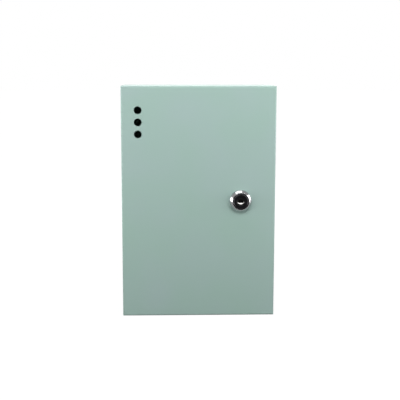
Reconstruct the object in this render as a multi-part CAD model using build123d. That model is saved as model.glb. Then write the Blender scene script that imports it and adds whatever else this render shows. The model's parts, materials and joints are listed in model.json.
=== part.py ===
from build123d import *
import os
from math import pi

# Wall-mounted sheet-steel enclosure with a hinged door and a quarter-turn cam lock.
# Millimetres. The origin is the middle of the back panel's outer face, +Z is up and
# the door faces -Y. The back box and the door are folded from sheet, and a continuous
# hinge with rolled knuckles joins them along the left side.

# Folded sheet
WIDTH = 152.0
HEIGHT = 230.0
DEPTH = 60.0
DOOR_DEPTH = 15.0
SEAM_GAP = 1.0
SHEET = 1.2
INNER_BEND_RADIUS = 0.4
LIP_WIDTH = 12.0
CORNER_GAP = 0.4
WELD_GROOVE_DEPTH = 0.4
OVERRUN = 4.0

# Indicator holes in the door
INDICATOR_COUNT = 3
INDICATOR_RADIUS = 3.8
INDICATOR_PITCH = 11.75
INDICATOR_FROM_TOP = 23.5
INDICATOR_FROM_LEFT = 16.4

# Wall fixing holes in the back panel
WALL_HOLE_RADIUS = 2.75
WALL_HOLE_SPACING_X = 110.0
WALL_HOLE_SPACING_Z = 180.0

# Cable knockouts in the bottom wall
KNOCKOUT_RADIUS = 11.0
KNOCKOUT_GROOVE = 0.5
KNOCKOUT_GROOVE_DEPTH = 0.6
KNOCKOUT_TAB = 3.0
KNOCKOUT_SPACING = 76.0
KNOCKOUT_FROM_BACK = 22.0

# Continuous hinge
HINGE_END_GAP = 4.0
KNUCKLE_COUNT = 7
KNUCKLE_GAP = 0.4
HINGE_PIN_RADIUS = 0.9
HINGE_PIN_CLEARANCE = 0.05
HINGE_PIN_OVERHANG = 0.6
LEAF_THICKNESS = 0.8
LEAF_WIDTH = 11.0
CURL_GAP = 0.25
HINGE_EDGE_CLEARANCE = 0.3
HINGE_SWING_CLEARANCE = 0.7

# Cam lock
LOCK_FROM_RIGHT = 34.4
LOCK_ABOVE_MIDDLE = 2.0
BARREL_RADIUS = 9.4
BARREL_FLAT_DEPTH = 1.4
BARREL_WALL = 3.35
BEZEL_OVERHANG = 1.6
BEZEL_EDGE = 2.15
BEZEL_HEIGHT = 5.0
LOCK_HOLE_CLEARANCE = 0.15
LOCK_TURN_DEGREES = 90.0
STOP_TAB_DEGREES = 30.0
STOP_PLAY_DEGREES = 2.0
STOP_LEDGE = 1.35
STOP_CLEARANCE = 0.3

# Cap and plug of the lock
CAP_RADIUS = 8.2
CAP_THICKNESS = 1.6
CAP_CLEARANCE = 0.1
CAP_RIM_WIDTH = 1.1
CAP_RIM_STEP = 0.35
CAP_DISH_WIDTH = 1.1
CAP_DISH_DEPTH = 0.5
KEY_WINDOW_MARGIN = 0.4
PLUG_CLEARANCE = 0.05
PLUG_SHOULDER = 1.2
PLUG_CORNER_CUT = 1.1
KEY_SLOT_WALL = 3.2
KEY_SLOT_HEIGHT = 1.8
KEY_SLOT_DEPTH = 12.0
KEY_MOUTH_WALL = 2.9
KEY_MOUTH_DEPTH = 1.2
KEY_MOUTH_FLOOR_RADIUS = 1.0

# Nut, washers and cam of the lock
LOCK_WASHER_THICKNESS = 0.7
LOCK_WASHER_WIDTH = 2.65
LOCK_WASHER_TEETH = 10
LOCK_NUT_WALL = 1.95
LOCK_NUT_THICKNESS = 4.0
STOP_WASHER_THICKNESS = 0.8
CAM_THICKNESS = 2.0
CAM_HUB_RADIUS = 8.0
CAM_TIP_WIDTH = 12.0
CAM_TIP_ROUND = 2.5
CAM_HOLE_CLEARANCE = 0.05
CAM_LIP_CLEARANCE = 0.8
CAM_WALL_CLEARANCE = 3.2
CAM_GRIP = 0.3
CAM_SCREW_RADIUS = 2.0
CAM_SCREW_LENGTH = 9.0
CAM_SCREW_SPARE = 1.0
CAM_SCREW_HEAD_OVERHANG = 1.5
CAM_SCREW_HEAD_HEIGHT = 2.8
CAM_WASHER_WIDTH = 2.35
CAM_WASHER_THICKNESS = 1.0

# Earth studs and their hardware
STUD_RADIUS = 2.5
STUD_LENGTH = 14.0
STUD_CLEARANCE = 0.1
STAR_WASHER_WIDTH = 2.3
STAR_WASHER_THICKNESS = 0.6
STAR_WASHER_TEETH = 8
STUD_NUT_WALL = 1.4
STUD_NUT_THICKNESS = 4.0
BOX_STUD_FROM_LEFT = 51.0
BOX_STUD_FROM_BOTTOM = 23.0
DOOR_STUD_FROM_LEFT = 24.0
DOOR_STUD_FROM_BOTTOM = 23.0

# Threaded pillars for a circuit board
PILLAR_WALL = 1.75
PILLAR_HEIGHT = 8.0
PILLAR_HOLE_RADIUS = 1.25
PILLAR_HOLE_DEPTH = 6.5
PILLAR_SPACING_X = 90.0
PILLAR_SPACING_Z = 120.0
PILLAR_ABOVE_MIDDLE = 15.0

# Proportions of small shapes
STAR_TOOTH_DEPTH_SHARE = 0.5
STAR_TOOTH_WIDTH_SHARE = 0.45

# Places worked out from the sizes above
LEFT = -WIDTH / 2
RIGHT = WIDTH / 2
TOP = HEIGHT / 2
BOTTOM = -HEIGHT / 2
DOOR_FRONT = -DEPTH
DOOR_BACK = DOOR_FRONT + DOOR_DEPTH
BOX_FRONT = DOOR_BACK + SEAM_GAP
OUTER_BEND_RADIUS = INNER_BEND_RADIUS + SHEET
KNUCKLE_BORE = HINGE_PIN_RADIUS + HINGE_PIN_CLEARANCE
KNUCKLE_RADIUS = KNUCKLE_BORE + LEAF_THICKNESS
HINGE_LENGTH = HEIGHT - 2 * HINGE_END_GAP
HINGE_X = LEFT + KNUCKLE_RADIUS
HINGE_Y = (DOOR_BACK + BOX_FRONT) / 2
HINGE_EDGE_DOOR = HINGE_Y - KNUCKLE_RADIUS - HINGE_EDGE_CLEARANCE
HINGE_EDGE_BOX = HINGE_Y + KNUCKLE_RADIUS + HINGE_EDGE_CLEARANCE + HINGE_SWING_CLEARANCE
LOCK_X = RIGHT - LOCK_FROM_RIGHT
LOCK_Z = LOCK_ABOVE_MIDDLE
BARREL_FLAT = BARREL_RADIUS - BARREL_FLAT_DEPTH
BARREL_BORE = BARREL_RADIUS - BARREL_WALL
PLUG_RADIUS = BARREL_BORE - PLUG_CLEARANCE
PLUG_CORNER_RADIUS = PLUG_RADIUS - PLUG_SHOULDER
PLUG_SQUARE = 2 * (PLUG_CORNER_RADIUS - PLUG_CORNER_CUT)
KEY_SLOT_LENGTH = 2 * (PLUG_RADIUS - KEY_SLOT_WALL)
KEY_MOUTH_RADIUS = PLUG_RADIUS - KEY_MOUTH_WALL
KEY_WINDOW_RADIUS = KEY_MOUTH_RADIUS + KEY_WINDOW_MARGIN
BEZEL_RADIUS = BARREL_RADIUS + BEZEL_OVERHANG
STOP_INNER_RADIUS = BARREL_BORE + STOP_LEDGE
CAM_FRONT = BOX_FRONT + SHEET + CAM_LIP_CLEARANCE
BARREL_LENGTH = CAM_FRONT - STOP_WASHER_THICKNESS - DOOR_FRONT
CAM_REACH = RIGHT - SHEET - CAM_WALL_CLEARANCE - LOCK_X


def block(low, high):
    """A box between two opposite corners."""
    middle = [(a + b) / 2 for a, b in zip(low, high)]
    return Pos(*middle) * Box(*[b - a for a, b in zip(low, high)])


def turned(points):
    """A solid turned about the local Z axis from (radius, height) points."""
    return revolve(Plane.XZ * make_face(Polyline(*points, close=True)), Axis.Z)


def facing_front(x, y, z):
    """A place whose local Z axis points out of the front, with local Y upward."""
    return Plane(origin=(x, y, z), x_dir=(1, 0, 0), z_dir=(0, -1, 0)).location


def facing_back(x, y, z):
    """A place whose local Z axis points to the back, with local Y upward."""
    return Plane(origin=(x, y, z), x_dir=(-1, 0, 0), z_dir=(0, 1, 0)).location


def end_edges(solid, axis, end):
    """The edges round one end of a block: 0 is its low end along the axis, -1 its high end."""
    return solid.edges().group_by(axis)[end]


# Back box


def box_hollow(inset, radius):
    """The back box as a filled block, taken in by inset, with its bends rounded."""
    low = (LEFT + inset, BOX_FRONT + inset, BOTTOM + inset)
    high = (RIGHT - inset, -inset, TOP - inset)
    solid = block(low, high)
    front = end_edges(solid, Axis.Y, 0).sort_by(Axis.X)[1:]
    return fillet([*end_edges(solid, Axis.Y, -1), *front], radius)


def box_mouth():
    """The front opening inside the lips. The hinge side has no lip."""
    low = (LEFT + SHEET, BOX_FRONT - OVERRUN, BOTTOM + LIP_WIDTH)
    high = (RIGHT - LIP_WIDTH, BOX_FRONT + SHEET + INNER_BEND_RADIUS, TOP - LIP_WIDTH)
    return block(low, high)


def hinge_notch():
    """Room along the left side for the knuckles and for the door's edge as it swings."""
    low = (LEFT - OVERRUN, HINGE_EDGE_DOOR, BOTTOM - OVERRUN)
    high = (HINGE_X, HINGE_EDGE_BOX, TOP + OVERRUN)
    return block(low, high)


def lip_cuts():
    """Gaps where the lips were mitred on the right and where they end clear of the hinge."""
    lip_end = HINGE_X + KNUCKLE_RADIUS + HINGE_EDGE_CLEARANCE
    cuts = []
    for side in (1, -1):
        corner = Pos(RIGHT, BOX_FRONT, side * TOP)
        length = 2 * (LIP_WIDTH + OVERRUN)
        mitre = Box(length, 2 * SHEET, CORNER_GAP)
        inside = block(
            (RIGHT - LIP_WIDTH - OVERRUN, BOX_FRONT - OVERRUN, BOTTOM + OUTER_BEND_RADIUS),
            (RIGHT - OUTER_BEND_RADIUS, BOX_FRONT + SHEET, TOP - OUTER_BEND_RADIUS),
        )
        cuts.append((corner * Rot(0, -side * 45, 0) * mitre) & inside)
        low_z = TOP - LIP_WIDTH - OVERRUN
        high_z = TOP - OUTER_BEND_RADIUS
        ends = sorted((side * low_z, side * high_z))
        cuts.append(
            block(
                (LEFT + SHEET, BOX_FRONT - OVERRUN, ends[0]),
                (lip_end, BOX_FRONT + SHEET, ends[1]),
            )
        )
    return cuts


def corner_slots(y_low, y_high, depth):
    """Slots where the side walls meet the top and bottom walls, cut in from the sides."""
    slots = []
    for low_x, high_x in ((LEFT - OVERRUN, LEFT + depth), (RIGHT - depth, RIGHT + OVERRUN)):
        for low_z in (TOP - SHEET - CORNER_GAP, BOTTOM + SHEET):
            slots.append(block((low_x, y_low, low_z), (high_x, y_high, low_z + CORNER_GAP)))
    return slots


def knockout_grooves():
    """Part-sheared rings in the bottom wall, held by two tabs each."""
    ring = Circle(KNOCKOUT_RADIUS) - Circle(KNOCKOUT_RADIUS - KNOCKOUT_GROOVE)
    ring -= Rectangle(2 * (KNOCKOUT_RADIUS + OVERRUN), KNOCKOUT_TAB)
    groove = Pos(0, -KNOCKOUT_FROM_BACK, BOTTOM) * extrude(ring, KNOCKOUT_GROOVE_DEPTH)
    return [Pos(side * KNOCKOUT_SPACING / 2, 0, 0) * groove for side in (-1, 1)]


def wall_holes():
    """Round holes for the screws that hold the box on a wall."""
    hole = Cylinder(WALL_HOLE_RADIUS, 2 * (SHEET + OVERRUN), rotation=(90, 0, 0))
    places = GridLocations(WALL_HOLE_SPACING_X, WALL_HOLE_SPACING_Z, 2, 2)
    return [Pos(p.position.X, 0, p.position.Y) * hole for p in places]


def back_box():
    shell = box_hollow(0, OUTER_BEND_RADIUS) - box_hollow(SHEET, INNER_BEND_RADIUS)
    shell -= [box_mouth(), hinge_notch()]
    shell -= lip_cuts()
    shell -= corner_slots(BOX_FRONT + OUTER_BEND_RADIUS, -OUTER_BEND_RADIUS, WELD_GROOVE_DEPTH)
    shell -= knockout_grooves()
    return shell - wall_holes()


# Door


def door_hollow(inset, radius):
    """The door as a filled block, taken in by inset, with the bends round its face."""
    rear = DOOR_BACK + (OVERRUN if inset else 0)
    low = (LEFT + inset, DOOR_FRONT + inset, BOTTOM + inset)
    high = (RIGHT - inset, rear, TOP - inset)
    solid = block(low, high)
    return fillet(end_edges(solid, Axis.Y, 0), radius)


def barrel_outline(clearance):
    """The double-D outline of the lock's barrel, grown by a clearance."""
    flat = 2 * (BARREL_FLAT + clearance)
    round_part = Circle(BARREL_RADIUS + clearance)
    return round_part & Rectangle(flat, 2 * (BARREL_RADIUS + OVERRUN))


def indicator_holes():
    hole = Cylinder(INDICATOR_RADIUS, 2 * (SHEET + OVERRUN), rotation=(90, 0, 0))
    x = LEFT + INDICATOR_FROM_LEFT
    first = TOP - INDICATOR_FROM_TOP
    return [Pos(x, DOOR_FRONT, first - i * INDICATOR_PITCH) * hole for i in range(INDICATOR_COUNT)]


def door():
    pan = door_hollow(0, OUTER_BEND_RADIUS) - door_hollow(SHEET, INNER_BEND_RADIUS)
    pan -= hinge_notch()
    pan -= corner_slots(DOOR_FRONT + OUTER_BEND_RADIUS, DOOR_BACK + OVERRUN, SHEET)
    pan -= indicator_holes()
    lock_hole = extrude(barrel_outline(LOCK_HOLE_CLEARANCE), SHEET + OVERRUN, both=True)
    return pan - facing_front(LOCK_X, DOOR_FRONT, LOCK_Z) * lock_hole


# Continuous hinge


def hinge_leaf(side, edge, first):
    """One leaf on the inside of the left wall, with its rolled knuckles. Side 1 is on the box
    and -1 on the door, edge is the wall's edge along Y, and first is the lowest knuckle."""
    inside = LEFT + SHEET
    plate_low, plate_high = sorted((edge, HINGE_Y + side * LEAF_WIDTH))
    leaf = block(
        (inside, plate_low, -HINGE_LENGTH / 2),
        (inside + LEAF_THICKNESS, plate_high, HINGE_LENGTH / 2),
    )
    curl = inside + LEAF_THICKNESS - HINGE_X + CURL_GAP / 2
    ring = Circle(KNUCKLE_RADIUS) - Circle(KNUCKLE_BORE)
    ring -= Pos(curl, side * KNUCKLE_RADIUS / 2) * Rectangle(CURL_GAP, KNUCKLE_RADIUS)
    pitch = HINGE_LENGTH / KNUCKLE_COUNT
    knuckle = extrude(ring, pitch - KNUCKLE_GAP)
    neck_low, neck_high = sorted((HINGE_Y + side * (KNUCKLE_BORE + KNUCKLE_RADIUS) / 2, edge))
    for number in range(first, KNUCKLE_COUNT, 2):
        low_z = -HINGE_LENGTH / 2 + number * pitch + KNUCKLE_GAP / 2
        high_z = low_z + pitch - KNUCKLE_GAP
        leaf += Pos(HINGE_X, HINGE_Y, low_z) * knuckle
        leaf += block((inside, neck_low, low_z), (inside + LEAF_THICKNESS, neck_high, high_z))
    return leaf


def hinge_pin():
    return Pos(HINGE_X, HINGE_Y, 0) * Cylinder(
        HINGE_PIN_RADIUS, HINGE_LENGTH + 2 * HINGE_PIN_OVERHANG
    )


# Small hardware, each made standing on its local origin


def hex_prism(flats, height):
    return extrude(RegularPolygon(flats / 2, 6, major_radius=False), height)


def hex_nut(bore, wall, height):
    """A nut with its wall measured from the bore to the middle of a flat."""
    return hex_prism(2 * (bore + wall), height) - Cylinder(bore, 2 * (height + OVERRUN))


def star_washer(bore, ring_width, thickness, teeth):
    """A lock washer with teeth round its outer edge."""
    radius = bore + ring_width
    depth = ring_width * STAR_TOOTH_DEPTH_SHARE
    width = STAR_TOOTH_WIDTH_SHARE * 2 * pi * radius / teeth
    disc = Circle(radius) - Circle(bore)
    disc -= PolarLocations(radius, teeth) * Rectangle(2 * depth, width)
    return extrude(disc, thickness)


def plain_washer(bore, ring_width, thickness):
    return extrude(Circle(bore + ring_width) - Circle(bore), thickness)


# Cam lock, about its own axis with local Z out of the front


def at_lock(height):
    """A place on the lock's axis, height in front of the door's face."""
    return facing_front(LOCK_X, DOOR_FRONT - height, LOCK_Z)


def sector(inner, outer, start, sweep):
    """A ring sector, with angles counted from straight down towards the right."""
    reach = outer + OVERRUN
    ring = Circle(outer) - Circle(inner)
    wedge = make_face(
        [
            Line((0, 0), (reach, 0)),
            CenterArc((0, 0), reach, 0, sweep),
            Line((0, 0), PolarLine((0, 0), reach, sweep) @ 1),
        ]
    )
    return ring & (Rot(0, 0, start - 90) * wedge)


def lock_housing():
    """Bezel and threaded barrel, with the stop for the cam on the barrel's end."""
    seat = BEZEL_HEIGHT - CAP_THICKNESS
    profile = [
        (BARREL_BORE, -BARREL_LENGTH),
        (BARREL_RADIUS, -BARREL_LENGTH),
        (BARREL_RADIUS, 0),
        (BEZEL_RADIUS, 0),
        (BEZEL_RADIUS, BEZEL_EDGE),
        (CAP_RADIUS + CAP_CLEARANCE, BEZEL_HEIGHT),
        (CAP_RADIUS + CAP_CLEARANCE, seat),
        (BARREL_BORE, seat),
    ]
    body = turned(profile)
    outside = Circle(BARREL_RADIUS + OVERRUN) - barrel_outline(0)
    body -= extrude(outside, -BARREL_LENGTH - OVERRUN)
    free = LOCK_TURN_DEGREES + STOP_TAB_DEGREES + 2 * STOP_PLAY_DEGREES
    start = LOCK_TURN_DEGREES + STOP_TAB_DEGREES / 2 + STOP_PLAY_DEGREES
    stop = sector(STOP_INNER_RADIUS, BARREL_RADIUS, start, 360 - free) & barrel_outline(0)
    body += Pos(0, 0, -BARREL_LENGTH) * extrude(stop, -STOP_WASHER_THICKNESS)
    return at_lock(0) * body


def lock_cap():
    """Round cap over the plug's end, with a raised rim, a dish and the window for the key."""
    height = CAP_THICKNESS
    inside_rim = CAP_RADIUS - CAP_RIM_WIDTH
    step = height - CAP_RIM_STEP
    profile = [
        (KEY_WINDOW_RADIUS, CAP_CLEARANCE),
        (CAP_RADIUS, CAP_CLEARANCE),
        (CAP_RADIUS, height),
        (inside_rim, height),
        (inside_rim - CAP_RIM_STEP, step),
        (KEY_WINDOW_RADIUS + CAP_DISH_WIDTH, step),
        (KEY_WINDOW_RADIUS, step - CAP_DISH_DEPTH),
    ]
    return at_lock(BEZEL_HEIGHT - height) * turned(profile)


def drive_square(clearance):
    side = PLUG_SQUARE + 2 * clearance
    return Rectangle(side, side) & Circle(PLUG_CORNER_RADIUS + clearance)


def lock_plug():
    """Turning core with the countersunk key slot in front and the cam's square behind."""
    front = BEZEL_HEIGHT - CAP_THICKNESS + CAP_CLEARANCE
    rear = -BARREL_LENGTH
    core = Pos(0, 0, rear) * extrude(Circle(PLUG_RADIUS), front - rear)
    square = STOP_WASHER_THICKNESS + CAM_THICKNESS - CAM_GRIP
    core += Pos(0, 0, rear) * extrude(drive_square(0), -square)
    floor = front - KEY_MOUTH_DEPTH
    core -= turned(
        [(0, floor), (KEY_MOUTH_FLOOR_RADIUS, floor), (KEY_MOUTH_RADIUS, front), (0, front)]
    )
    slot = Rectangle(KEY_SLOT_LENGTH, KEY_SLOT_HEIGHT)
    core -= Pos(0, 0, front + OVERRUN) * extrude(slot, -KEY_SLOT_DEPTH - OVERRUN)
    hole_depth = CAM_SCREW_LENGTH - CAM_WASHER_THICKNESS - CAM_GRIP + CAM_SCREW_SPARE
    core -= Pos(0, 0, rear - square) * extrude(Circle(CAM_SCREW_RADIUS + PLUG_CLEARANCE), hole_depth)
    return at_lock(0) * core


def lock_star_washer():
    bore = BARREL_RADIUS + LOCK_HOLE_CLEARANCE
    washer = star_washer(bore, LOCK_WASHER_WIDTH, LOCK_WASHER_THICKNESS, LOCK_WASHER_TEETH)
    return facing_back(LOCK_X, DOOR_FRONT + SHEET, LOCK_Z) * washer


def lock_nut():
    nut = hex_nut(BARREL_RADIUS + LOCK_HOLE_CLEARANCE, LOCK_NUT_WALL, LOCK_NUT_THICKNESS)
    return facing_back(LOCK_X, DOOR_FRONT + SHEET + LOCK_WASHER_THICKNESS, LOCK_Z) * nut


def lock_stop_washer():
    """Disc on the plug's square, with the tab that meets the barrel's stop."""
    disc = Circle(STOP_INNER_RADIUS - STOP_CLEARANCE)
    disc += sector(PLUG_RADIUS, BARREL_RADIUS, -STOP_TAB_DEGREES / 2, STOP_TAB_DEGREES)
    disc -= drive_square(CAM_HOLE_CLEARANCE)
    return at_lock(-BARREL_LENGTH) * extrude(disc, -STOP_WASHER_THICKNESS)


def lock_cam():
    """Flat cam, hanging down when the lock is open."""
    tip = Pos(0, -CAM_REACH / 2) * RectangleRounded(CAM_TIP_WIDTH, CAM_REACH, CAM_TIP_ROUND)
    outline = Circle(CAM_HUB_RADIUS) + tip - drive_square(CAM_HOLE_CLEARANCE)
    return at_lock(-BARREL_LENGTH - STOP_WASHER_THICKNESS) * extrude(outline, -CAM_THICKNESS)


def cam_washer():
    washer = plain_washer(CAM_SCREW_RADIUS + PLUG_CLEARANCE, CAM_WASHER_WIDTH, CAM_WASHER_THICKNESS)
    return facing_back(LOCK_X, CAM_FRONT + CAM_THICKNESS, LOCK_Z) * washer


def cam_screw():
    head = hex_prism(2 * (CAM_SCREW_RADIUS + CAM_SCREW_HEAD_OVERHANG), CAM_SCREW_HEAD_HEIGHT)
    shank = extrude(Circle(CAM_SCREW_RADIUS), -CAM_SCREW_LENGTH)
    seat = CAM_FRONT + CAM_THICKNESS + CAM_WASHER_THICKNESS
    return facing_back(LOCK_X, seat, LOCK_Z) * (head + shank)


# Earth studs and board pillars


def earth_point(owner, place):
    """A weld stud with its star washer and nut, as named nodes."""
    bore = STUD_RADIUS + STUD_CLEARANCE
    star = star_washer(bore, STAR_WASHER_WIDTH, STAR_WASHER_THICKNESS, STAR_WASHER_TEETH)
    nut = hex_nut(bore, STUD_NUT_WALL, STUD_NUT_THICKNESS)
    return {
        f"{owner}_earth_stud": place * extrude(Circle(STUD_RADIUS), STUD_LENGTH),
        f"{owner}_earth_star_washer": place * star,
        f"{owner}_earth_nut": place * Pos(0, 0, STAR_WASHER_THICKNESS) * nut,
    }


def board_pillars():
    pillar = hex_prism(2 * (PILLAR_HOLE_RADIUS + PILLAR_WALL), PILLAR_HEIGHT)
    hole = extrude(Circle(PILLAR_HOLE_RADIUS), -PILLAR_HOLE_DEPTH)
    pillar -= Pos(0, 0, PILLAR_HEIGHT) * hole
    places = GridLocations(PILLAR_SPACING_X, PILLAR_SPACING_Z, 2, 2)
    rows = [(p.position.X, p.position.Y + PILLAR_ABOVE_MIDDLE) for p in places]
    return Compound([facing_front(x, -SHEET, z) * pillar for x, z in rows])


def nodes():
    """Every piece of the enclosure by its name."""
    box_stud = facing_front(LEFT + BOX_STUD_FROM_LEFT, -SHEET, BOTTOM + BOX_STUD_FROM_BOTTOM)
    door_stud = facing_back(
        LEFT + DOOR_STUD_FROM_LEFT, DOOR_FRONT + SHEET, BOTTOM + DOOR_STUD_FROM_BOTTOM
    )
    return {
        "back_box": back_box(),
        "door": door(),
        "hinge_leaf_box": hinge_leaf(1, HINGE_EDGE_BOX, 0),
        "hinge_leaf_door": hinge_leaf(-1, HINGE_EDGE_DOOR, 1),
        "hinge_pin": hinge_pin(),
        "lock_housing": lock_housing(),
        "lock_cap": lock_cap(),
        "lock_plug": lock_plug(),
        "lock_star_washer": lock_star_washer(),
        "lock_nut": lock_nut(),
        "lock_stop_washer": lock_stop_washer(),
        "lock_cam": lock_cam(),
        "cam_washer": cam_washer(),
        "cam_screw": cam_screw(),
        "board_pillars": board_pillars(),
        **earth_point("box", box_stud),
        **earth_point("door", door_stud),
    }


os.makedirs("parts", exist_ok=True)
for node, shape in nodes().items():
    export_step(shape, f"parts/{node}.step")
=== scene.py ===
import json
from math import cos, pi, radians, sin

import bmesh
import bpy
from mathutils import Matrix, Vector


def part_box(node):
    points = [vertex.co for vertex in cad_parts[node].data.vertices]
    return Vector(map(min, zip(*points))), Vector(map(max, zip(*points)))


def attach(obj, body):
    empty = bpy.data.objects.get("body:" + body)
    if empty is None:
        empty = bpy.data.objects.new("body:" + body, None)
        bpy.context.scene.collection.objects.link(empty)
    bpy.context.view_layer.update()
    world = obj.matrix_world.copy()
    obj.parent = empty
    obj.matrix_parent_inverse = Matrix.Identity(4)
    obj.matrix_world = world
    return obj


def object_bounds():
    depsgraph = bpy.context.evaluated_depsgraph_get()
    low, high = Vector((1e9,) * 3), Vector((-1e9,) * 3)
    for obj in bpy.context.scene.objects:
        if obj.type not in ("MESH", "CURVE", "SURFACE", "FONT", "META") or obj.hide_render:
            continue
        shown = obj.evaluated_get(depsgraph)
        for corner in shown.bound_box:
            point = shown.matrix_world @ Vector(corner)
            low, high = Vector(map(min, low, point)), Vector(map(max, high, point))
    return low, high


# Looks of the wall-mounted steel enclosure: materials, spot welds, screw threads,
# soft studio light, a pale floor and the photograph's camera. Metres throughout.

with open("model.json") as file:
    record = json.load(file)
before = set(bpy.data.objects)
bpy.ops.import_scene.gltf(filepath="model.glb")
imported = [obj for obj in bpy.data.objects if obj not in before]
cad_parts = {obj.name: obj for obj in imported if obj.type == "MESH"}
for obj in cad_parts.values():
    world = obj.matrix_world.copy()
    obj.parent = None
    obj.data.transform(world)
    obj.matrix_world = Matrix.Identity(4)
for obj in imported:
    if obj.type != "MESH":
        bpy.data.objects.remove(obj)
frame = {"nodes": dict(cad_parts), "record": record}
cad_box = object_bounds()
nodes = frame["nodes"]
MM = 0.001

# Camera, as fitted to the door's edges and holes in the photograph
CAMERA_DISTANCE = 0.86
CAMERA_PITCH = radians(9.0)
CAMERA_YAW = radians(1.853)
CAMERA_ROLL = radians(0.096)
CAMERA_LENS_MM = 78.11
CAMERA_SENSOR_MM = 36.0
CAMERA_SHIFT = (0.00328, 0.00756)

# Light. Each softbox has a place, the way it faces, its size and its power in watts
SOFTBOXES = {
    "main": ((0.08, -0.47, 0.47), (0, 0.41, -0.47), (0.8, 0.22), 3.0),
    "strip": ((-0.06, -0.105, 0.45), (0, 0, -1), (0.38, 0.14), 0.5),
    "left": ((-0.45, -0.3, 0.05), (1, 0, 0), (0.56, 0.21), 2.0),
    "right": ((0.45, -0.28, 0.075), (-1, 0, 0), (0.52, 0.37), 1.95),
    "back": ((0.0, 0.8, 0.65), (0, -0.8, -0.6), (1.0, 0.4), 7.5),
}
AMBIENT = 0.07
REFLECTED_SKY = 0.52
REFLECTED_SKY_EDGES = (0.2, 0.45)

# Floor: it glows almost white, a little more away from the part, and is dimmer in reflections
FLOOR_RADIUS = 8.0
FLOOR_STEPS = 96
FLOOR_ALBEDO = 0.07
FLOOR_GLOW_NEAR = 0.94
FLOOR_GLOW_FAR = 1.0
FLOOR_GLOW_REACH = (0.2, 0.7)
REFLECTED_FLOOR = 0.5

# Finishes. Colours are linear, a roughness is a range, a texture is its scale per metre
# and its detail, and a bump is its height and its strength
PAINT_GREEN = (0.352, 0.502, 0.445)
PAINT_GREY = (0.368, 0.497, 0.468)
PAINT_DRIFTS = (22.0, 1.5)
PAINT_SPECK = (0.2, 0.3, 0.27)
PAINT_SPECK_SHARE = 0.08
PAINT_SPECKS = (2600.0, 2.0)
PAINT_SPECULAR = 0.2
PAINT_ROUGHNESS = (0.42, 0.5)
ORANGE_PEEL = (900.0, 2.0)
ORANGE_PEEL_BUMP = (0.06 * MM, 0.35)

# Each plating has the light and the dark of its clouds, its roughness and its grain's height
PLATINGS = {
    "chrome": ((0.5, 0.5, 0.51), (0.45, 0.455, 0.47), (0.05, 0.1), 0.002 * MM),
    "zinc_steel": ((0.52, 0.53, 0.55), (0.4, 0.41, 0.43), (0.36, 0.5), 0.01 * MM),
}
PLATING_CLOUDS = (180.0, 3.0)
PLATING_GRAIN = (2500.0, 2.0)
PLATING_GRAIN_STRENGTH = 0.3

CAP_BLACKS = ((0.004, 0.004, 0.005), (0.007, 0.006, 0.008))
CAP_SPECULAR = 0.08
CAP_ROUGHNESS = (0.26, 0.34)
CAP_GRAIN = (3000.0, 2.0)
CAP_GRAIN_BUMP = (0.01 * MM, 0.25)

# Painted highlight on the inner edge of the cap's raised rim: grey in patches at its top and
# sides, where the lamps catch it
RIM_HIGHLIGHT_GREY = (0.12, 0.117, 0.126)
RIM_HIGHLIGHT_RADIUS = 7.0 * MM
RIM_HIGHLIGHT_WIDTH = 0.7 * MM
RIM_HIGHLIGHT_SOFTNESS = 0.3 * MM
RIM_HIGHLIGHT_FADES_BELOW_AXIS = 2.0 * MM
RIM_HIGHLIGHT_ENDS_BELOW_AXIS = 4.5 * MM
RIM_HIGHLIGHT_PATCHES = (260.0, 2.0)
RIM_HIGHLIGHT_PATCH_SHARE = (0.4, 1.0)
RIM_HIGHLIGHT_PATCH_EDGES = (0.4, 0.6)

PLUG_TARNISHED = ((0.03, 0.028, 0.03), (0.015, 0.014, 0.015))
# Light and dark of the bright metal in the plug's painted highlight arc
PLUG_HIGHLIGHT = ((0.5, 0.49, 0.48), (0.4, 0.39, 0.38))
PLUG_ROUGHNESS = (0.22, 0.36)
PLUG_CLOUDS = (900.0, 3.0)
PLUG_CLOUD_BUMP = (0.01 * MM, 0.2)

# Painted highlight in the lock's key mouth: bright bare metal in an arc below the plug's axis,
# on the side lit from above
HIGHLIGHT_ARC_RADIUS = 5.2 * MM
HIGHLIGHT_ARC_BELOW_AXIS = 2.25 * MM
HIGHLIGHT_ARC_WIDTH = 0.75 * MM
HIGHLIGHT_ARC_DEPTH = 1.25 * MM
HIGHLIGHT_ARC_SOFTNESS = 0.15 * MM

# Rounded edges of the solids: the bevel's width in each slot, its steps and the least angle
EDGE_WIDTHS = {
    "sage_paint": 0.15 * MM,
    "chrome": 0.08 * MM,
    "black_cap": 0.12 * MM,
    "nickel": 0.12 * MM,
    "zinc_steel": 0.12 * MM,
}
EDGE_STEPS = 2
EDGE_ANGLE = radians(35)
JOIN_DISTANCE = 0.001 * MM

# Screw threads
STUD_PITCH = 0.8 * MM
STUD_THREAD_HEIGHT = 0.08 * MM
BARREL_PITCH = 1.0 * MM
BARREL_THREAD_HEIGHT = 0.12 * MM
BARREL_RADIUS = 9.4 * MM
BARREL_FLAT = 8.0 * MM
THREAD_ROOT = 0.05 * MM
THREAD_STEPS = 48

# Spot welds that hold the hinge leaves. The profile gives the rise at each distance from the
# middle, in millimetres. A leaf's plate starts some knuckle radii away from the hinge pin
WELD_COUNT = 8
WELD_PROFILE = [(0.0, 0.04), (1.3, 0.05), (1.7, 0.14), (2.0, 0.14), (2.4, 0.0)]
WELD_STEPS = 24
PLATE_START = 1.5

# Shader values: the span that most of a noise lies in, and the sockets of a mix node
# by what it mixes, as first, second and result
NOISE_LOW, NOISE_HIGH = 0.3, 0.7
MIX_SOCKETS = {"FLOAT": (2, 3, 0), "RGBA": (6, 7, 2)}
WHITE = (1, 1, 1, 1)


# Shader nodes


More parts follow.
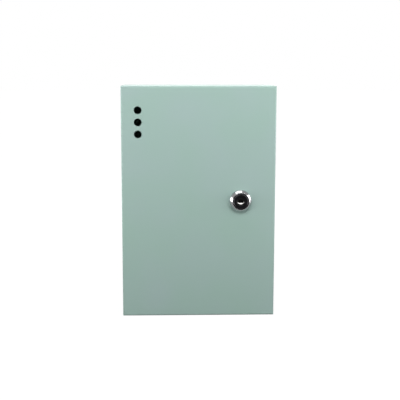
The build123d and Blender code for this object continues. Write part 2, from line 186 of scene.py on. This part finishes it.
def add_node(tree, kind, settings=None, **inputs):
    """A new shader node with its settings and unlinked input values, by socket name."""
    node = tree.nodes.new(kind)
    for key, value in (settings or {}).items():
        setattr(node, key, value)
    for key, value in inputs.items():
        node.inputs[key].default_value = value
    return node


def noise(tree, place, scale, detail):
    node = add_node(tree, "ShaderNodeTexNoise", Scale=scale, Detail=detail)
    tree.links.new(place, node.inputs["Vector"])
    return node.outputs["Fac"]


def ranged(tree, value, low, high, start=NOISE_LOW, end=NOISE_HIGH):
    """A value between start and end, mapped to the range from low to high."""
    node = add_node(tree, "ShaderNodeMapRange")
    limits = {"From Min": start, "From Max": end, "To Min": low, "To Max": high}
    for key, number in limits.items():
        node.inputs[key].default_value = number
    tree.links.new(value, node.inputs["Value"])
    return node.outputs["Result"]


def feed(tree, socket, source):
    """Links an output to a socket, or sets the socket to a colour or a number."""
    if isinstance(source, bpy.types.NodeSocket):
        tree.links.new(source, socket)
    elif isinstance(source, tuple):
        socket.default_value = (*source, 1.0)
    else:
        socket.default_value = source


def mixed(tree, factor, first, second, kind="RGBA"):
    """Two colours, or two numbers, mixed by a factor. Each is a constant or an output."""
    node = add_node(tree, "ShaderNodeMix", {"data_type": kind})
    first_socket, second_socket, result = MIX_SOCKETS[kind]
    tree.links.new(factor, node.inputs[0])
    feed(tree, node.inputs[first_socket], first)
    feed(tree, node.inputs[second_socket], second)
    return node.outputs[result]


def times(tree, first, second):
    node = add_node(tree, "ShaderNodeMath", {"operation": "MULTIPLY"})
    tree.links.new(first, node.inputs[0])
    tree.links.new(second, node.inputs[1])
    return node.outputs[0]


def split_xyz(tree, vector):
    node = add_node(tree, "ShaderNodeSeparateXYZ")
    tree.links.new(vector, node.inputs[0])
    return node.outputs


def length_of(tree, vector):
    node = add_node(tree, "ShaderNodeVectorMath", {"operation": "LENGTH"})
    tree.links.new(vector, node.inputs[0])
    return node.outputs["Value"]


def distance_from(tree, place, centre):
    """How far a place is from a line along Y through a centre."""
    flat = add_node(tree, "ShaderNodeVectorMath", {"operation": "MULTIPLY_ADD"})
    flat.inputs[1].default_value = (1, 0, 1)
    flat.inputs[2].default_value = (-centre.x, 0, -centre.z)
    tree.links.new(place, flat.inputs[0])
    return length_of(tree, flat.outputs[0])


def under(tree, value, edge, softness):
    """1 for values under an edge, fading to 0 over it."""
    return ranged(tree, value, 1, 0, edge - softness, edge + softness)


def band(tree, value, middle, width, softness):
    """1 within a band of values, fading to 0 on both sides."""
    low, high = middle - width / 2, middle + width / 2
    rising = ranged(tree, value, 0, 1, low - softness, low + softness)
    return times(tree, rising, under(tree, value, high, softness))


def bump(tree, shader, height, distance, strength):
    node = add_node(tree, "ShaderNodeBump", Strength=strength, Distance=distance)
    tree.links.new(height, node.inputs["Height"])
    tree.links.new(node.outputs["Normal"], shader.inputs["Normal"])


def seen_directly(tree):
    """1 for rays from the camera, from a mirror-like surface or through glass, else 0."""
    path = add_node(tree, "ShaderNodeLightPath")
    total = path.outputs["Is Camera Ray"]
    for name in ("Is Glossy Ray", "Is Transmission Ray"):
        add = add_node(tree, "ShaderNodeMath", {"operation": "ADD", "use_clamp": True})
        tree.links.new(total, add.inputs[0])
        tree.links.new(path.outputs[name], add.inputs[1])
        total = add.outputs[0]
    return total


# Materials


def new_material(name, **inputs):
    """A new material: its node tree, its shader and the object's own coordinates."""
    material = bpy.data.materials.new(name)
    material.use_nodes = True
    tree = material.node_tree
    shader = tree.nodes["Principled BSDF"]
    for key, value in inputs.items():
        shader.inputs[key.replace("_", " ")].default_value = value
    place = add_node(tree, "ShaderNodeTexCoord").outputs["Object"]
    return material, tree, shader, place


def sage_paint():
    """Semi-matt powder coat: broad drifts of green and grey, fine specks and orange peel."""
    material, tree, shader, place = new_material("sage_paint", Specular_IOR_Level=PAINT_SPECULAR)
    drift = noise(tree, place, *PAINT_DRIFTS)
    speck = noise(tree, place, *PAINT_SPECKS)
    drifted = mixed(tree, ranged(tree, drift, 0, 1), PAINT_GREEN, PAINT_GREY)
    specked = mixed(tree, ranged(tree, speck, 0, PAINT_SPECK_SHARE), drifted, PAINT_SPECK)
    tree.links.new(specked, shader.inputs["Base Color"])
    tree.links.new(ranged(tree, drift, *PAINT_ROUGHNESS), shader.inputs["Roughness"])
    bump(tree, shader, noise(tree, place, *ORANGE_PEEL), *ORANGE_PEEL_BUMP)
    return material


def plated(name):
    """Bright plated metal, clouded by its plating bath, with a fine grain."""
    light, dark, roughness, grain = PLATINGS[name]
    material, tree, shader, place = new_material(name, Metallic=1.0)
    cloud = noise(tree, place, *PLATING_CLOUDS)
    clouded = mixed(tree, ranged(tree, cloud, 0, 1), light, dark)
    tree.links.new(clouded, shader.inputs["Base Color"])
    tree.links.new(ranged(tree, cloud, *roughness), shader.inputs["Roughness"])
    bump(tree, shader, noise(tree, place, *PLATING_GRAIN), grain, PLATING_GRAIN_STRENGTH)
    return material


def black_cap():
    """Moulded black plastic with a fine spark-eroded grain, and a painted grey highlight along
    its raised rim.
    """
    material, tree, shader, place = new_material("black_cap", Specular_IOR_Level=CAP_SPECULAR)
    grain = noise(tree, place, *CAP_GRAIN)
    black = mixed(tree, ranged(tree, grain, 0, 1), *CAP_BLACKS)
    low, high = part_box("lock_cap")
    axis = (low + high) / 2
    reach = distance_from(tree, place, axis)
    # Painted highlight: a grey band along the rim's inner edge, kept to the top and sides
    rim = band(tree, reach, RIM_HIGHLIGHT_RADIUS, RIM_HIGHLIGHT_WIDTH, RIM_HIGHLIGHT_SOFTNESS)
    end, fade = axis.z - RIM_HIGHLIGHT_ENDS_BELOW_AXIS, axis.z - RIM_HIGHLIGHT_FADES_BELOW_AXIS
    upper = times(tree, rim, ranged(tree, split_xyz(tree, place)["Z"], 0, 1, end, fade))
    patches = noise(tree, place, *RIM_HIGHLIGHT_PATCHES)
    share = ranged(tree, patches, *RIM_HIGHLIGHT_PATCH_SHARE, *RIM_HIGHLIGHT_PATCH_EDGES)
    rim_highlighted = mixed(tree, times(tree, upper, share), black, RIM_HIGHLIGHT_GREY)
    tree.links.new(rim_highlighted, shader.inputs["Base Color"])
    tree.links.new(ranged(tree, grain, *CAP_ROUGHNESS), shader.inputs["Roughness"])
    bump(tree, shader, grain, *CAP_GRAIN_BUMP)
    return material


def lock_plug_metal():
    """Plug of dark tarnished nickel, with a painted highlight of bright metal in an arc below
    its axis.
    """
    material, tree, shader, place = new_material("lock_plug_metal", Metallic=1.0)
    low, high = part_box("lock_plug")
    axis = (low + high) / 2
    # Painted highlight: bright metal only in an arc below the axis, near the front, where light
    # from above falls
    arc_centre = axis + Vector((0, 0, HIGHLIGHT_ARC_RADIUS - HIGHLIGHT_ARC_BELOW_AXIS))
    reach = distance_from(tree, place, arc_centre)
    arc = band(tree, reach, HIGHLIGHT_ARC_RADIUS, HIGHLIGHT_ARC_WIDTH, HIGHLIGHT_ARC_SOFTNESS)
    split = split_xyz(tree, place)
    lower = under(tree, split["Z"], axis.z, HIGHLIGHT_ARC_SOFTNESS)
    front = under(tree, split["Y"], low.y + HIGHLIGHT_ARC_DEPTH, HIGHLIGHT_ARC_SOFTNESS)
    highlight_arc = times(tree, times(tree, arc, lower), front)
    cloud = noise(tree, place, *PLUG_CLOUDS)
    clouded = ranged(tree, cloud, 0, 1)
    bright = mixed(tree, clouded, *PLUG_HIGHLIGHT)
    dark = mixed(tree, clouded, *PLUG_TARNISHED)
    tree.links.new(mixed(tree, highlight_arc, dark, bright), shader.inputs["Base Color"])
    tree.links.new(ranged(tree, cloud, *PLUG_ROUGHNESS), shader.inputs["Roughness"])
    bump(tree, shader, cloud, *PLUG_CLOUD_BUMP)
    return material


slot_materials = {
    "sage_paint": sage_paint(),
    "chrome": plated("chrome"),
    "black_cap": black_cap(),
    "nickel": lock_plug_metal(),
    "zinc_steel": plated("zinc_steel"),
}


# Solids carried over, with softened edges


def soften(piece, width):
    """Joins the facets of a solid and rounds its sharp edges."""
    weld = piece.modifiers.new("join_facets", "WELD")
    weld.merge_threshold = JOIN_DISTANCE
    bevel = piece.modifiers.new("rounded_edges", "BEVEL")
    bevel.width = width
    bevel.segments = EDGE_STEPS
    bevel.limit_method = "ANGLE"
    bevel.angle_limit = EDGE_ANGLE
    bevel.harden_normals = True


for subpart in frame["record"]["subparts"]:
    solid = nodes[subpart["node"]]
    slot = subpart["material_slot"]
    for material_slot in solid.material_slots:
        material_slot.material = slot_materials[slot]
    soften(solid, EDGE_WIDTHS[slot])


# Added details


def mesh_object(name, mesh, material):
    """An object of the scene with the faces of a bmesh, which is freed."""
    data = bpy.data.meshes.new(name)
    mesh.to_mesh(data)
    mesh.free()
    data.materials.append(material)
    made = bpy.data.objects.new(name, data)
    bpy.context.scene.collection.objects.link(made)
    return made


def add_piece(name, mesh, body, slot):
    """Adds a smooth piece that rides on a body and takes a slot's material."""
    for face in mesh.faces:
        face.smooth = True
    piece = mesh_object(name, mesh, slot_materials[slot])
    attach(piece, body)


def lattice(mesh, rows):
    """Quads between neighbouring rows of points."""
    made = [[mesh.verts.new(point) for point in row] for row in rows]
    for first, second in zip(made, made[1:]):
        for i in range(len(first) - 1):
            mesh.faces.new((first[i], first[i + 1], second[i + 1], second[i]))


def thread(name, node, body, slot, pitch, height, start, end, radius, flat=None):
    """A V-shaped ridge wound round a node's middle axis, which runs along Y, from start to end.
    Where the bar has two flats across X, the ridge dips under them."""
    low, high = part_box(node)
    centre = (low + high) / 2
    rows = []
    for step in range(int((end - start) / pitch * THREAD_STEPS)):
        angle = 2 * pi * step / THREAD_STEPS
        root, crest = radius - THREAD_ROOT, radius + height
        if flat and flat < radius * abs(cos(angle)):
            root = crest = flat / abs(cos(angle)) - THREAD_ROOT
        middle = start + pitch * step / THREAD_STEPS
        row = []
        for reach, offset in ((root, -pitch / 2), (crest, 0.0), (root, pitch / 2)):
            y = min(max(middle + offset, start), end)
            row.append((centre.x + reach * cos(angle), y, centre.z + reach * sin(angle)))
        rows.append(row)
    mesh = bmesh.new()
    lattice(mesh, rows)
    add_piece(name, mesh, body, slot)


def spot_welds(name, leaf, body):
    """A column of spot welds on the inner face of a hinge leaf."""
    low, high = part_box(leaf)
    pin_low, pin_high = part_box("hinge_pin")
    pin_y = (pin_low.y + pin_high.y) / 2
    plate_start = PLATE_START * (high.x - low.x) / 2
    points = [vertex.co for vertex in nodes[leaf].data.vertices]
    plate = [point for point in points if abs(point.y - pin_y) > plate_start]
    face_x = max(point.x for point in plate)
    y = (min(point.y for point in plate) + max(point.y for point in plate)) / 2
    mesh = bmesh.new()
    for number in range(WELD_COUNT):
        z = low.z + (high.z - low.z) * (number + 0.5) / WELD_COUNT
        rows = []
        for step in range(WELD_STEPS + 1):
            angle = 2 * pi * step / WELD_STEPS
            along_y, along_z = MM * cos(angle), MM * sin(angle)
            rows.append(
                [
                    (face_x + rise * MM, y + reach * along_y, z + reach * along_z)
                    for reach, rise in WELD_PROFILE
                ]
            )
        lattice(mesh, rows)
    bmesh.ops.remove_doubles(mesh, verts=mesh.verts, dist=JOIN_DISTANCE)
    add_piece(name, mesh, body, "sage_paint")


spot_welds("box_leaf_welds", "hinge_leaf_box", "box")
spot_welds("door_leaf_welds", "hinge_leaf_door", "door")
for owner in ("box", "door"):
    stud_low, stud_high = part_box(f"{owner}_earth_stud")
    thread(
        f"{owner}_stud_thread", f"{owner}_earth_stud", owner, "zinc_steel",
        pitch=STUD_PITCH, height=STUD_THREAD_HEIGHT,
        start=stud_low.y + STUD_PITCH, end=stud_high.y - STUD_PITCH,
        radius=(stud_high.x - stud_low.x) / 2,
    )
thread(
    "barrel_thread", "lock_housing", "door", "chrome",
    pitch=BARREL_PITCH, height=BARREL_THREAD_HEIGHT,
    start=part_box("lock_nut")[1].y, end=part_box("lock_stop_washer")[0].y - BARREL_PITCH / 2,
    radius=BARREL_RADIUS, flat=BARREL_FLAT,
)


# Floor, light and camera


def pale_floor():
    """Matt floor that takes the shadow and glows to white away from the part."""
    material = bpy.data.materials.new("pale_floor")
    material.use_nodes = True
    tree = material.node_tree
    tree.nodes.clear()
    away = length_of(tree, add_node(tree, "ShaderNodeTexCoord").outputs["Object"])
    glow = ranged(tree, away, FLOOR_GLOW_NEAR, FLOOR_GLOW_FAR, *FLOOR_GLOW_REACH)
    reflected = add_node(tree, "ShaderNodeLightPath").outputs["Is Glossy Ray"]
    share = ranged(tree, reflected, 1.0, REFLECTED_FLOOR, 0.0, 1.0)
    emission = add_node(tree, "ShaderNodeEmission")
    strength = times(tree, times(tree, glow, share), seen_directly(tree))
    tree.links.new(strength, emission.inputs["Strength"])
    grey = (FLOOR_ALBEDO, FLOOR_ALBEDO, FLOOR_ALBEDO, 1)
    matt = add_node(tree, "ShaderNodeBsdfDiffuse", Color=grey)
    both = add_node(tree, "ShaderNodeAddShader")
    tree.links.new(emission.outputs[0], both.inputs[0])
    tree.links.new(matt.outputs[0], both.inputs[1])
    output = add_node(tree, "ShaderNodeOutputMaterial")
    tree.links.new(both.outputs[0], output.inputs["Surface"])
    return material


def floor_disc():
    """A wide disc under the part's foot."""
    mesh = bmesh.new()
    bmesh.ops.create_circle(mesh, cap_ends=True, segments=FLOOR_STEPS, radius=FLOOR_RADIUS)
    floor = mesh_object("floor", mesh, pale_floor())
    floor.location.z = cad_box[0][2]


def surroundings():
    """White behind the part, dim soft light all round, and a grey ceiling in reflections."""
    world = bpy.data.worlds.new("surroundings")
    bpy.context.scene.world = world
    world.use_nodes = True
    tree = world.node_tree
    direction = add_node(tree, "ShaderNodeTexCoord").outputs["Generated"]
    height = split_xyz(tree, direction)["Z"]
    ceiling = ranged(tree, height, 1.0, REFLECTED_SKY, *REFLECTED_SKY_EDGES)
    by_camera = add_node(tree, "ShaderNodeLightPath").outputs["Is Camera Ray"]
    shown = mixed(tree, by_camera, ceiling, 1.0, "FLOAT")
    strength = mixed(tree, seen_directly(tree), AMBIENT, shown, "FLOAT")
    background = tree.nodes["Background"]
    background.inputs["Color"].default_value = WHITE
    tree.links.new(strength, background.inputs["Strength"])


def softbox(name, place, facing, size, power):
    """A rectangular lamp that shows only in reflections."""
    light = bpy.data.lights.new(name, "AREA")
    light.shape = "RECTANGLE"
    light.size, light.size_y = size
    light.energy = power
    lamp = bpy.data.objects.new(name, light)
    lamp.location = place
    lamp.rotation_euler = Vector(facing).to_track_quat("-Z", "Y").to_euler()
    lamp.visible_camera = False
    bpy.context.scene.collection.objects.link(lamp)


def camera():
    """The photograph's view, from a little above and left of the middle of the door's face."""
    low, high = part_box("door")
    aim = Vector(((low.x + high.x) / 2, low.y, (low.z + high.z) / 2))
    away = Vector(
        (
            -sin(CAMERA_YAW) * cos(CAMERA_PITCH),
            -cos(CAMERA_YAW) * cos(CAMERA_PITCH),
            sin(CAMERA_PITCH),
        )
    )
    lens = bpy.data.cameras.new("camera")
    lens.lens = CAMERA_LENS_MM
    lens.sensor_width = CAMERA_SENSOR_MM
    lens.shift_x, lens.shift_y = CAMERA_SHIFT
    eye = bpy.data.objects.new("camera", lens)
    place = Matrix.Translation(aim + CAMERA_DISTANCE * away)
    turn = away.to_track_quat("Z", "Y").to_matrix().to_4x4()
    eye.matrix_world = place @ turn @ Matrix.Rotation(CAMERA_ROLL, 4, "Z")
    bpy.context.scene.collection.objects.link(eye)
    bpy.context.scene.camera = eye


floor_disc()
surroundings()
for name, settings in SOFTBOXES.items():
    softbox(name, *settings)
camera()
bpy.context.scene.view_settings.view_transform = "Standard"
